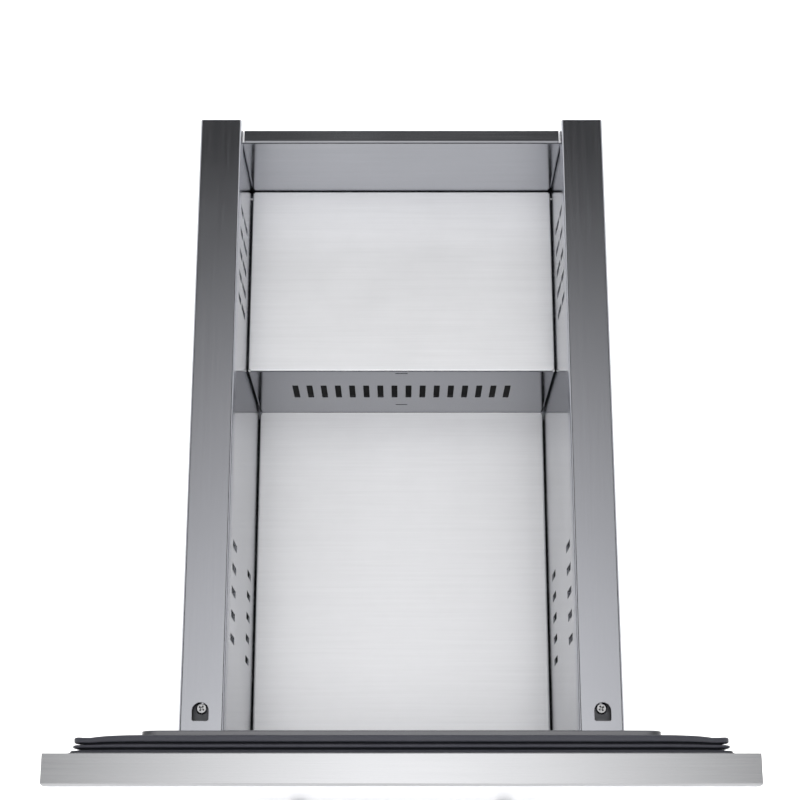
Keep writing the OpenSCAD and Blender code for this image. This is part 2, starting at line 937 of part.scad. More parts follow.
module right_drawer_member() {
    t = member_t;
    color(zinc) difference() {
        slide_section(slide_y0, slide_y1) difference() {
            union() {
                patch([0, -drawer_half], [t, drawer_half]);
                flange_pair(0, drawer_flange_s, drawer_half - t, drawer_half);
            }
            inner_races();
        }
        for (y = member_rivet_y)
            bar_x(rivet_r, [panel_out - over, y, slide_z], t + 2 * over);
        bar_x(lever_pin_r, [panel_out - over, lever_y, slide_z], t + 2 * over);
    }
}

module left_drawer_member() {
    left() right_drawer_member();
}

module drawer_member_rivets() {
    color(zinc) both() for (y = member_rivet_y) {
        bar_x(rivet_r, [half_bin, y, slide_z], sheet_t + member_t);
        bar_x(rivet_head_r, [panel_out + member_t, y, slide_z], head_t);
    }
}

module right_intermediate_member() {
    t = member_t;
    color(zinc) slide_section(slide_y0, slide_y1) difference() {
        union() {
            patch([mid_web_s, -mid_out_half], [mid_web_s + t, mid_out_half]);
            flange_pair(mid_lip_s, mid_web_s + t, mid_in_half, mid_out_half);
        }
        inner_races();
        outer_races();
    }
}

module left_intermediate_member() {
    left() right_intermediate_member();
}

module right_cabinet_member() {
    t = member_t;
    color(zinc) difference() {
        slide_section(slide_y0, slide_y1) difference() {
            union() {
                patch([slide_depth - t, -cab_half], [slide_depth, cab_half]);
                flange_pair(cab_lip_s, slide_depth, cab_in_half, cab_half);
            }
            outer_races();
        }
        for (y = standoff_rivet_y)
            bar_x(rivet_r, [cab_face - t - over, y, slide_z], t + 2 * over);
    }
}

module left_cabinet_member() {
    left() right_cabinet_member();
}

// Thin U-shaped strip with a round pocket for each ball
module ball_cage(ball_s, ball_z, ball_r, web_s) {
    reach = ball_r + cage_lip;
    t = cage_t;
    color("#c9b458") difference() {
        slide_section(cage_y0, cage_y0 + cage_l) {
            patch([web_s, -ball_z - t / 2], [web_s + t, ball_z + t / 2]);
            flange_pair(ball_s - reach, web_s + t, ball_z - t / 2, ball_z + t / 2);
        }
        ball_places(ball_s, ball_z) bar_z(ball_r + pocket_play, [0, 0, -t], 2 * t);
    }
}

// Centres of the balls in the two rows of a cage
module ball_places(ball_s, ball_z) {
    first = cage_y0 + (cage_l - (ball_count - 1) * ball_pitch) / 2;
    for (i = [0 : ball_count - 1], side = [-1, 1])
        translate([panel_out + ball_s, first + i * ball_pitch, slide_z + side * ball_z])
            children();
}

module right_inner_cage() {
    ball_cage(inner_ball_s, inner_ball_z, inner_ball_r, inner_cage_s);
}

module left_inner_cage() {
    left() right_inner_cage();
}

module right_outer_cage() {
    ball_cage(outer_ball_s, outer_ball_z, outer_ball_r, outer_cage_s);
}

module left_outer_cage() {
    left() right_outer_cage();
}

module right_inner_balls() {
    color(steel) ball_places(inner_ball_s, inner_ball_z) sphere(inner_ball_r, $fn = 24);
}

module left_inner_balls() {
    left() right_inner_balls();
}

module right_outer_balls() {
    color(steel) ball_places(outer_ball_s, outer_ball_z) sphere(outer_ball_r, $fn = 24);
}

module left_outer_balls() {
    left() right_outer_balls();
}

// Small plastic stops that the outer cages meet at full travel
module cage_stops() {
    s1 = slide_depth - member_t;
    y0 = slide_y0 + 1;
    color(black_plastic) both() translate([panel_out, 0, slide_z])
        block([s1 - stop_t, y0, -stop_half], [s1, y0 + stop_l, stop_half]);
}

// ---- Release levers ----

module right_release_lever() {
    x0 = panel_out + member_t + lever_play;
    color(black_plastic) difference() {
        along_x(x0, x0 + lever_t) translate([lever_y, slide_z]) {
            circle(lever_boss_r);
            rounded([-lever_arm, -lever_half], [0, lever_half], lever_half - 0.1);
            rounded([0, -lever_tail_half], [lever_tail, lever_tail_half], lever_tail_half - 0.1);
        }
        bar_x(lever_pin_r + pocket_play, [x0 - over, lever_y, slide_z], lever_t + 2 * over);
    }
}

module left_release_lever() {
    left() right_release_lever();
}

module lever_pivots() {
    pin_l = member_t + lever_t + 2 * lever_play;
    color(zinc) both() {
        bar_x(lever_pin_r, [panel_out, lever_y, slide_z], pin_l);
        bar_x(pivot_head_r, [panel_out + pin_l, lever_y, slide_z], pivot_head_t);
    }
}

// ---- Stand-off brackets on the cabinet's walls ----

module right_cabinet_bracket() {
    t = standoff_t;
    color(dark_steel) difference() {
        along_y(standoff_y[0], standoff_y[1]) {
            patch([cab_face, shelf_z + bend_r - t], [cab_face + t, standoff_top]);
            bend([cab_face + bend_r, shelf_z + bend_r - t], 2, bend_r, t);
            patch([cab_face + bend_r, shelf_z - t], [wall_x - bend_r, shelf_z]);
            bend([wall_x - bend_r, shelf_z - bend_r], 0, bend_r, t);
            patch([wall_x - t, standoff_foot_z], [wall_x, shelf_z - bend_r]);
        }
        for (y = standoff_rivet_y)
            bar_x(rivet_r, [cab_face - over, y, slide_z], t + 2 * over);
        for (dy = [-1, 1], dz = [-1, 1])
            bar_x(wall_hole_r, [wall_x - t - over, wall_hole_y + dy * wall_hole_dy / 2,
                                wall_hole_z + dz * wall_hole_dz / 2], t + 2 * over);
    }
}

module left_cabinet_bracket() {
    left() right_cabinet_bracket();
}

module member_rivets() {
    color(zinc) both() for (y = standoff_rivet_y) {
        bar_x(rivet_r, [cab_face - member_t, y, slide_z], member_t + standoff_t);
        bar_x(rivet_head_r, [cab_face + standoff_t, y, slide_z], head_t);
    }
}

in_frame() {
    front_skin();
    front_foam();
    front_liner();
    door_gasket();
    gasket_magnets();
    handle_backing_plate();
    bracket_backing_plates();
    handle_bar();
    handle_posts();
    handle_studs();
    handle_set_screws();
    left_side_panel();
    right_side_panel();
    stepped_floor();
    back_panel();
    bin_front_panel();
    deck_support_angles();
    left_rail_cover();
    right_rail_cover();
    left_front_bracket();
    right_front_bracket();
    rail_lock_screws();
    front_bracket_screws();
    bracket_rivets();
    floor_rivets();
    front_panel_rivets();
    back_panel_rivets();
    left_drawer_member();
    right_drawer_member();
    drawer_member_rivets();
    left_intermediate_member();
    right_intermediate_member();
    left_outer_cage();
    right_outer_cage();
    left_inner_cage();
    right_inner_cage();
    left_outer_balls();
    right_outer_balls();
    left_inner_balls();
    right_inner_balls();
    left_cabinet_member();
    right_cabinet_member();
    left_cabinet_bracket();
    right_cabinet_bracket();
    member_rivets();
    cage_stops();
    left_release_lever();
    right_release_lever();
    lever_pivots();
}
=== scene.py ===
"""Looks of a pull-out refrigerator drawer bin: brushed steel, bellows gasket and studio light."""

import math
from functools import partial

import bmesh
import bpy
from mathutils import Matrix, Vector


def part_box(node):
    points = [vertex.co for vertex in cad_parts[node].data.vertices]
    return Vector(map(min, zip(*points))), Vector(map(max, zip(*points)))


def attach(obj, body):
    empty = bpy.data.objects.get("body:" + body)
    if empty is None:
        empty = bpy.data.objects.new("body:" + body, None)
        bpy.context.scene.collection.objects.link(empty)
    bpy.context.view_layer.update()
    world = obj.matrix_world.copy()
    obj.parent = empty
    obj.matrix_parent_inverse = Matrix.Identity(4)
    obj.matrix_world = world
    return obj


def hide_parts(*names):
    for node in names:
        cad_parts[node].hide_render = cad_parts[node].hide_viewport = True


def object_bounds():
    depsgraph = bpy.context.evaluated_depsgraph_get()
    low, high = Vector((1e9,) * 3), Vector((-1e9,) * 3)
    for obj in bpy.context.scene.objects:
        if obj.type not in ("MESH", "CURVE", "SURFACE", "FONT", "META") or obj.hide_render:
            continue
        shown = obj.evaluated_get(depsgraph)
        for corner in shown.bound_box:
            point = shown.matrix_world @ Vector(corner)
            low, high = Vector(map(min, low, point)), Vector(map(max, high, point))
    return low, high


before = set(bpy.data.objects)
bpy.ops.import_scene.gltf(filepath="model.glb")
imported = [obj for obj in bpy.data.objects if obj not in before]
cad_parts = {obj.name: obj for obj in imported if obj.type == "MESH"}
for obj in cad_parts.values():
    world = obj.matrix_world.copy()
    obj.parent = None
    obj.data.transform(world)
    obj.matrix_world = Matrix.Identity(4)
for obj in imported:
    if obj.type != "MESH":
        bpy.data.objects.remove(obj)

MM = 0.001
cad_low, cad_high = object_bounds()

# The front's own corners: its face is at the lowest Y, its top edge at the highest Z.
front_low, front_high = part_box("front_skin")


# ---- Shader helpers ----

# Cosine between a face and its rounded normal: where an edge starts to show, and where it is full
EDGE_START = 0.995
EDGE_FULL = 0.86


def new_tree(name):
    """An empty material and its node tree."""
    material = bpy.data.materials.new(name)
    material.use_nodes = True
    material.node_tree.nodes.clear()
    return material, material.node_tree


def add(tree, kind, inputs=None, **settings):
    """One shader node. Its inputs are values, or outputs of other nodes."""
    node = tree.nodes.new("ShaderNode" + kind)
    for key, value in settings.items():
        setattr(node, key, value)
    for key, value in (inputs or {}).items():
        if isinstance(value, bpy.types.NodeSocket):
            tree.links.new(value, node.inputs[key])
        else:
            node.inputs[key].default_value = value
    return node


def maths(tree, operation, a, b=0.0):
    """Result of one sum on two values."""
    return add(tree, "Math", {0: a, 1: b}, operation=operation).outputs[0]


def remap(tree, value, from_low, from_high, to_low, to_high, smooth=False):
    """A value moved from one range to another and held inside it."""
    kind = "SMOOTHSTEP" if smooth else "LINEAR"
    inputs = {"Value": value, "From Min": from_low, "From Max": from_high,
              "To Min": to_low, "To Max": to_high}
    return add(tree, "MapRange", inputs, interpolation_type=kind).outputs["Result"]


def mix(tree, share, a, b, blend_type="MIX"):
    """Two colours mixed by a share."""
    node = add(tree, "Mix", {0: share, 6: a, 7: b}, data_type="RGBA", blend_type=blend_type)
    return node.outputs[2]


def tinted(tree, base, tone):
    """A colour made lighter or darker by a tone round 1."""
    grey = add(tree, "CombineColor", {k: tone for k in range(3)}).outputs[0]
    return mix(tree, 1.0, base, grey, "MULTIPLY")


def object_place(tree):
    """Place on the piece in metres."""
    return add(tree, "TexCoord").outputs["Object"]


def face_normal(tree):
    """Normal of the face, without bumps."""
    return add(tree, "NewGeometry").outputs["Normal"]


def height_of(tree, vector):
    """Z of a vector."""
    return add(tree, "SeparateXYZ", {0: vector}).outputs[2]


def noise(tree, place, scale, detail=2.0, roughness=0.5):
    """Noise from 0 to 1. The scale is cycles a metre, one number or one per axis."""
    if not isinstance(scale, (tuple, list)):
        scale = (scale,) * 3
    place = add(tree, "Mapping", {"Vector": place, "Scale": scale}).outputs[0]
    inputs = {"Vector": place, "Scale": 1.0, "Detail": detail, "Roughness": roughness}
    return add(tree, "TexNoise", inputs).outputs["Fac"]


def along(axis, long, across):
    """Scales that stretch a pattern along one axis."""
    return tuple(long if k == "XYZ".index(axis) else across for k in range(3))


def edge_share(tree, radius):
    """1 on the edges of a piece and 0 on its faces, and the rounded normal."""
    rounded = add(tree, "Bevel", {"Radius": radius}, samples=4).outputs[0]
    inputs = {0: rounded, 1: face_normal(tree)}
    facing = add(tree, "VectorMath", inputs, operation="DOT_PRODUCT").outputs["Value"]
    return remap(tree, facing, EDGE_START, EDGE_FULL, 0.0, 1.0), rounded


def bump(tree, height, distance, strength, normal=None):
    """Normal bent by a height from 0 to 1, in metres of distance."""
    inputs = {"Height": height, "Distance": distance, "Strength": strength}
    if normal is not None:
        inputs["Normal"] = normal
    return add(tree, "Bump", inputs).outputs[0]


def surface(tree, inputs):
    """Principled surface joined to the material's output."""
    shader = add(tree, "BsdfPrincipled", inputs)
    tree.links.new(shader.outputs[0], add(tree, "OutputMaterial").inputs["Surface"])


# ---- Materials ----

# Brushed grain: cycles a metre along and across it, for the finest lines and for wider bands
HAIR_LONG, HAIR_ACROSS = 20.0, 1100.0
BAND_LONG, BAND_ACROSS = 8.0, 380.0
HAIR_DEPTH = 0.002 * MM
# Radius of rounded edges on steel sheet and on plated parts
SHEET_EDGE_R = 0.35 * MM
PLATED_EDGE_R = 0.25 * MM
# Handling marks on steel: cycles a metre and how far they change the tone
SMUDGE_SCALE = 16.0
SMUDGE = 0.03
# Cycles a metre of the mottling on plated parts, of dust on mouldings, and of the foam's cells and
# aged patches
MOTTLE_SCALE = 60.0
DUST_SCALE = 30.0
CELL_SCALE = 1500.0
AGED_SCALE = 25.0
# A level face belongs to a height when it is this close to it.
LEVEL_REACH = 2.5 * MM
# Near black painted shade for the level faces inside slots and vents
PAINTED_SLOT_SHADE = (0.04, 0.04, 0.045, 1.0)
WORN_STEEL = (0.80, 0.81, 0.83, 1.0)
DUST = (0.45, 0.45, 0.46, 1.0)
# Light grey of the painted highlight on the upward faces of mouldings
PAINTED_TOP_HIGHLIGHT = (0.45, 0.45, 0.47, 1.0)
# Near black painted shade for narrow recesses on plated parts
PAINTED_RECESS_SHADE = (0.01, 0.01, 0.012, 1.0)


def grain_tangent(tree, grain):
    """Direction of the stretched highlight, square to the grain. The grain's axis leans a little, so
    that faces square to it still get a direction."""
    lean = 0.01
    parts = {k: 1.0 if k == "XYZ".index(grain) else lean for k in range(3)}
    axis = add(tree, "CombineXYZ", parts).outputs[0]
    axis = add(tree, "VectorTransform", {0: axis}, vector_type="VECTOR", convert_from="OBJECT",
               convert_to="WORLD").outputs[0]
    inputs = {0: face_normal(tree), 1: axis}
    tangent = add(tree, "VectorMath", inputs, operation="CROSS_PRODUCT").outputs[0]
    return add(tree, "VectorMath", {0: tangent}, operation="NORMALIZE").outputs[0]


def level_shares(tree, place, heights):
    """1 on the level faces at some heights, and 1 on the level faces at all other heights."""
    up = maths(tree, "ABSOLUTE", height_of(tree, face_normal(tree)))
    up = remap(tree, up, 0.3, 0.95, 0.0, 1.0)
    z = height_of(tree, place)
    here = 0.0
    for height in heights:
        off = maths(tree, "ABSOLUTE", maths(tree, "SUBTRACT", z, height))
        here = maths(tree, "MAXIMUM", here, maths(tree, "LESS_THAN", off, LEVEL_REACH))
    elsewhere = maths(tree, "SUBTRACT", 1.0, here)
    return maths(tree, "MULTIPLY", up, here), maths(tree, "MULTIPLY", up, elsewhere)


def brushed_steel(name, colour, grain, roughness, contrast=0.05, anisotropy=0.8, level=None):
    """Steel sheet with a brushed grain along one axis, handling marks and bright worn edges.
    Its level faces can have a finish of their own: colour, roughness, dullness and the heights of
    those faces. Level faces at other heights, inside slots and vents, get a near black painted shade."""
    material, tree = new_tree(name)
    place = object_place(tree)
    hair = noise(tree, place, along(grain, HAIR_LONG, HAIR_ACROSS), 1.5)
    band = noise(tree, place, along(grain, BAND_LONG, BAND_ACROSS))
    cloud = noise(tree, place, SMUDGE_SCALE, 4.0, 0.55)
    edge, rounded = edge_share(tree, SHEET_EDGE_R)
    streaks = maths(tree, "MULTIPLY", maths(tree, "ADD", hair, band), 0.5)
    tone = maths(tree, "MULTIPLY", remap(tree, streaks, 0.32, 0.68, 1.0 - contrast, 1.0 + contrast),
                 remap(tree, cloud, 0.3, 0.7, 1.0 - SMUDGE, 1.0 + SMUDGE))
    rough = remap(tree, streaks, 0.3, 0.7, roughness * 0.88, roughness * 1.12)
    base, metal = (*colour, 1.0), 1.0
    if level is not None:
        level_colour, level_roughness, dullness, heights = level
        share, slot_shade = level_shares(tree, place, heights)
        base = mix(tree, share, base, (*level_colour, 1.0))
        # Painted shade: level faces at other heights, the faces inside slots and vents, are mixed
        # towards near black.
        base = mix(tree, slot_shade, base, PAINTED_SLOT_SHADE)
        metal = maths(tree, "SUBTRACT", 1.0, maths(tree, "MULTIPLY", share, dullness))
        change = maths(tree, "MULTIPLY", share, level_roughness - roughness)
        rough = maths(tree, "ADD", rough, change)
    base = tinted(tree, base, tone)
    base = mix(tree, maths(tree, "MULTIPLY", edge, 0.4), base, WORN_STEEL)
    rough = maths(tree, "ADD", rough, remap(tree, cloud, 0.35, 0.7, -0.01, 0.02))
    surface(tree, {"Base Color": base, "Metallic": metal, "Roughness": rough, "Anisotropic": anisotropy,
                   "Tangent": grain_tangent(tree, grain),
                   "Normal": bump(tree, hair, HAIR_DEPTH, 0.4, rounded)})
    return material


def plated(name, colour, roughness, grain_scale=900.0, spangle=0.10, worn=(0.8, 0.8, 0.82), recess_shade_reach=0.0):
    """Plated or milled metal with fine mottling and edges rubbed bright. Recesses narrower than the
    reach of the ambient occlusion are darkened towards near black as painted shade."""
    material, tree = new_tree(name)
    place = object_place(tree)
    fine = noise(tree, place, grain_scale, 3.0, 0.6)
    cloud = noise(tree, place, MOTTLE_SCALE, 3.0, 0.6)
    edge, rounded = edge_share(tree, PLATED_EDGE_R)
    tone = maths(tree, "ADD", remap(tree, fine, 0.3, 0.7, -spangle, spangle),
                 remap(tree, cloud, 0.3, 0.7, 1.0 - spangle, 1.0 + spangle))
    base = tinted(tree, (*colour, 1.0), tone)
    base = mix(tree, maths(tree, "MULTIPLY", edge, 0.6), base, (*worn, 1.0))
    # Painted shade: narrow recesses, found by ambient occlusion, are mixed towards near black.
    if recess_shade_reach > 0.0:
        inputs = {"Distance": recess_shade_reach}
        open_share = add(tree, "AmbientOcclusion", inputs, samples=8, only_local=True).outputs["AO"]
        base = mix(tree, remap(tree, open_share, 0.35, 0.8, 1.0, 0.0), base, PAINTED_RECESS_SHADE)
    rough = remap(tree, fine, 0.3, 0.7, roughness - 0.06, roughness + 0.1)
    surface(tree, {"Base Color": base, "Metallic": 1.0, "Roughness": rough,
                   "Normal": bump(tree, fine, 0.02 * MM, 0.5, rounded)})
    return material


def moulded(name, colour, roughness, grain_scale, grain_depth, dust=0.12, rubbed=0.4,
            round_r=0.4 * MM, specular=0.45, top_highlight=0.0):
    """Moulded plastic or rubber with a fine skin grain, a little dust and rubbed edges. Its upward
    faces can be lightened by a painted highlight."""
    material, tree = new_tree(name)
    place = object_place(tree)
    skin = noise(tree, place, grain_scale, 3.0, 0.65)
    cloud = noise(tree, place, DUST_SCALE, 4.0, 0.6)
    edge, rounded = edge_share(tree, round_r)
    lighter = (*(min(1.0, part * 1.9 + 0.02) for part in colour), 1.0)
    base = mix(tree, remap(tree, cloud, 0.4, 0.75, 0.0, dust), (*colour, 1.0), DUST)
    base = mix(tree, remap(tree, skin, 0.35, 0.8, 0.0, 0.25), base, lighter)
    base = mix(tree, maths(tree, "MULTIPLY", edge, rubbed), base, lighter)
    if top_highlight > 0.0:
        # Painted highlight: upward faces are mixed towards a light grey.
        up = height_of(tree, rounded)
        base = mix(tree, remap(tree, up, 0.9, 1.0, 0.0, top_highlight), base, PAINTED_TOP_HIGHLIGHT)
    rough = remap(tree, cloud, 0.3, 0.7, roughness - 0.03, roughness + 0.03)
    surface(tree, {"Base Color": base, "Metallic": 0.0, "Roughness": rough,
                   "Specular IOR Level": specular,
                   "Normal": bump(tree, skin, grain_depth, 0.8, rounded)})
    return material


def cellular_foam(name):
    """Cut face of rigid polyurethane foam."""
    pale, deep, aged = (0.86, 0.79, 0.56, 1.0), (0.72, 0.62, 0.36, 1.0), (0.68, 0.52, 0.24, 1.0)
    material, tree = new_tree(name)
    place = object_place(tree)
    scaled = add(tree, "Mapping", {"Vector": place, "Scale": (CELL_SCALE,) * 3}).outputs[0]
    inputs = {"Vector": scaled, "Scale": 1.0}
    cells = add(tree, "TexVoronoi", inputs, feature="F1").outputs["Distance"]
    cloud = noise(tree, place, AGED_SCALE, 3.0)
    base = mix(tree, remap(tree, cells, 0.1, 0.8, 0.0, 1.0), deep, pale)
    base = mix(tree, remap(tree, cloud, 0.4, 0.7, 0.0, 0.25), base, aged)
    surface(tree, {"Base Color": base, "Roughness": 0.85,
                   "Normal": bump(tree, cells, 0.25 * MM, 0.9)})
    return material


def level_heights(node):
    """Heights of the two largest level faces of a CAD node."""
    areas = {}
    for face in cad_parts[node].data.polygons:
        if face.normal.z > 0.9:
            height = round(face.center.z, 4)
            areas[height] = areas.get(height, 0.0) + face.area
    return sorted(areas, key=areas.get)[-2:]


# Finishes of level faces: colour, roughness, dullness and heights. The bin's floor stays rougher
# than 0.275 everywhere: the denoiser treats smoother steel as a mirror, which shows as patches.
BAND_FINISH = ((0.80, 0.805, 0.825), 0.19, 0.0, [front_high.z])
FLOOR_FINISH = ((0.88, 0.883, 0.90), 0.305, 0.30, level_heights("stepped_floor"))

MATERIALS = {
    "front_steel": brushed_steel("front_steel", (0.70, 0.705, 0.72), "X", 0.42, 0.09,
                                 level=BAND_FINISH),
    "rail_steel": brushed_steel("rail_steel", (0.69, 0.70, 0.75), "Y", 0.20, 0.05),
    "panel_steel": brushed_steel("panel_steel", (0.55, 0.558, 0.59), "Y", 0.12, 0.04),
    # The back panel and the bin's front are the same steel painted darker than the side panels: painted
    # shade for the back of the bin.
    "shaded_cross_steel": brushed_steel("shaded_cross_steel", (0.42, 0.427, 0.455), "X", 0.15, 0.04),
    # One folded sheet in lit and shaded copies: its upright faces, the riser and the sides of its
    # vents, are painted far darker than its level floor and deck, as painted shade.
    "floor_steel": brushed_steel("floor_steel", (0.22, 0.226, 0.25), "X", 0.13, 0.025, 0.7,
                                 level=FLOOR_FINISH),
    "handle_steel": brushed_steel("handle_steel", (0.62, 0.625, 0.645), "X", 0.22, 0.10),
    "slide_steel": plated("slide_steel", (0.56, 0.57, 0.58), 0.28),
    "zinc_steel": plated("zinc_steel", (0.50, 0.52, 0.54), 0.38, 500.0, 0.16),
    # The front brackets, seen deep in the D-windows, get a darker copy of the zinc: painted shade.
    "shaded_zinc": plated("shaded_zinc", (0.32, 0.325, 0.345), 0.45, 500.0, 0.12, (0.5, 0.5, 0.52)),
    "fastener_steel": plated("fastener_steel", (0.74, 0.74, 0.75), 0.2, recess_shade_reach=1.2 * MM),
    "ball_steel": plated("ball_steel", (0.74, 0.74, 0.75), 0.08, 1500.0, 0.03),
    "cage_brass": plated("cage_brass", (0.55, 0.44, 0.22), 0.34),
    "magnet": moulded("magnet", (0.05, 0.046, 0.045), 0.55, 2500.0, 0.03 * MM),
    "liner_plastic": moulded("liner_plastic", (0.013, 0.0135, 0.017), 0.33, 1800.0, 0.015 * MM,
                             dust=0.004, rubbed=0.0, round_r=1.2 * MM, specular=1.0, top_highlight=0.14),
    "black_plastic": moulded("black_plastic", (0.022, 0.022, 0.024), 0.45, 2200.0, 0.03 * MM),
    "gasket_rubber": moulded("gasket_rubber", (0.018, 0.0185, 0.024), 0.42, 1500.0, 0.03 * MM,
                             dust=0.01),
    "foam": cellular_foam("foam"),
}

# Material of each CAD node. A name that starts with "*" stands for its left and right twins.
NODE_MATERIALS = {
    "front_steel": ["front_skin"],
    "handle_steel": ["handle_bar", "handle_posts"],
    "foam": ["front_foam"],
    "liner_plastic": ["front_liner"],
    "magnet": ["gasket_magnets"],
    "zinc_steel": ["handle_backing_plate", "bracket_backing_plates", "deck_support_angles",
                   "*_cabinet_bracket"],
    "shaded_zinc": ["*_front_bracket"],
    "panel_steel": ["*_side_panel"],
    "shaded_cross_steel": ["back_panel", "bin_front_panel"],
    "floor_steel": ["stepped_floor"],
    "rail_steel": ["*_rail_cover"],
    "slide_steel": ["*_drawer_member", "*_intermediate_member", "*_cabinet_member"],
    "cage_brass": ["*_outer_cage", "*_inner_cage"],
    "ball_steel": ["*_outer_balls", "*_inner_balls"],
    "black_plastic": ["cage_stops", "*_release_lever"],
    "fastener_steel": ["handle_studs", "handle_set_screws", "rail_lock_screws",
                       "front_bracket_screws", "bracket_rivets", "floor_rivets",
                       "front_panel_rivets", "back_panel_rivets", "drawer_member_rivets",
                       "member_rivets", "lever_pivots"],
}


def dress(node, material):
    """Gives a CAD node one material."""
    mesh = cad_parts[node].data
    mesh.materials.clear()
    mesh.materials.append(MATERIALS[material])


for material, names in NODE_MATERIALS.items():
    for name in names:
        twins = [name.replace("*", side) for side in ("left", "right")] if "*" in name else [name]
        for node in twins:
            dress(node, material)


# ---- Gasket ----

# In mm. The CAD gasket starts with a dart of this length, which sits in the liner.
DART_LENGTH = 6.0
MAGNET_WIDTH = 6.0
# Wall of the magnet's tube over the magnet, and the magnet's play in it
TUBE_WALL = 0.8
MAGNET_PLAY = 0.1
# Radii of the gasket's corners, steps round one corner, and length of a piece of the straight runs
OUTER_R = 5.0
INNER_R = 1.5
CORNER_STEPS = 6
PIECE_LENGTH = 4.0
# Folds sharper than this are shaded as edges, in degrees.
SHARP_FOLD = 50
# How the bands are pulled towards the liner beside the welded corners: depth, place and width of a
# step, of a dip and of the ripples that follow
PULL_DEPTH, PULL_END, PULL_FADE = 0.75, 17.0, 4.0
DIP_DEPTH, DIP_PLACE, DIP_WIDTH = 0.65, 8.0, 5.0
RIPPLE_DEPTH, RIPPLE_LENGTH, RIPPLE_FADE = 0.12, 8.5, 90.0


def arc(centre, radius, start, end, steps):
    """Points on an arc, in degrees, from start to end."""
    angles = [math.radians(start + (end - start) * k / steps) for k in range(steps + 1)]
    return [(centre[0] + radius * math.cos(a), centre[1] + radius * math.sin(a)) for a in angles]


def gasket_outline(width, depth):
    """The gasket's cross-section in mm: across the band from its outer edge, and out from the liner.
    A barbed dart, a wide foot, one bellows fold and the flat tube that holds the magnet."""
    middle = width / 2
    right = [(middle + 0.5, -5.5)]
    right += [(middle + 1.45, -3.8), (middle + 0.8, -3.3), (middle + 1.45, -2.2), (middle + 0.9, -1.7)]
    right += [(middle + 0.9, 0.0)]
    right += arc((width + 0.9, 0.5), 0.5, -90, 70, 4)
    right += [(width - 2.4, 1.5), (width - 4.3, 1.9)]
    right += arc((width - 0.7, 3.5), 0.9, -110, 110, 8)
    right += [(width - 4.3, 5.1)]
    right += arc((width - 1.1, 6.5), 0.8, -115, 0, 4)
    right += arc((width - 1.3, depth - 1.0), 1.0, 0, 90, 5)
    right += [(width - 2.6, depth), (width - 3.6, depth - 0.2), (middle + 0.8, depth - 0.2)]
    left = [(width - across, out) for across, out in reversed(right)]
    return right + left


def tube_outline(width, depth, magnet_depth):
    """Cavity of the magnet's tube in mm, a little larger than the magnet."""
    half = MAGNET_WIDTH / 2 + MAGNET_PLAY
    left, right = width / 2 - half, width / 2 + half
    top = depth - TUBE_WALL + MAGNET_PLAY
    bottom = depth - TUBE_WALL - magnet_depth - MAGNET_PLAY
    return [(left, bottom), (left, top), (right, top), (right, bottom)]


def gasket_path(width, height, band):
    """Stations round the frame, in order. Each is a function that gives the place, in mm from the
    frame's centre, of a point at a distance across the band."""
    def at_corner(signs, angle, across):
        r = OUTER_R + (INNER_R - OUTER_R) * across / band
        centre_x = signs[0] * (width / 2 - across - r)
        centre_z = signs[1] * (height / 2 - across - r)
        return centre_x + r * math.cos(angle), centre_z + r * math.sin(angle)

    def between(before, after, share, across):
        x0, z0 = at_corner(*before, across)
        x1, z1 = at_corner(*after, across)
        return x0 + (x1 - x0) * share, z0 + (z1 - z0) * share

    corners = [((1, -1), -90), ((1, 1), 0), ((-1, 1), 90), ((-1, -1), 180)]
    stations = []
    for k, (signs, start) in enumerate(corners):
        for step in range(CORNER_STEPS + 1):
            stations.append(partial(at_corner, signs, math.radians(start + 90 * step / CORNER_STEPS)))
        next_signs, next_start = corners[(k + 1) % 4]
        before = (signs, math.radians(start + 90))
        after = (next_signs, math.radians(next_start))
        pieces = int((height if k % 2 == 0 else width) / PIECE_LENGTH)
        stations += [partial(between, before, after, step / pieces) for step in range(1, pieces)]
    return stations


def sag(distance, out, depth):
    """How far in mm the band is moved at a distance from the nearest corner. Below 0 is towards the
    liner. The foot stays on the liner."""
    pull = PULL_DEPTH / (1.0 + math.exp((distance - PULL_END) / PULL_FADE))
    dip = DIP_DEPTH * math.exp(-((distance - DIP_PLACE) / DIP_WIDTH) ** 2)
    ripple = RIPPLE_DEPTH * math.sin(distance / RIPPLE_LENGTH) * math.exp(-distance / RIPPLE_FADE)
    return -(pull + dip + ripple) * max(0.0, out / depth) ** 1.5


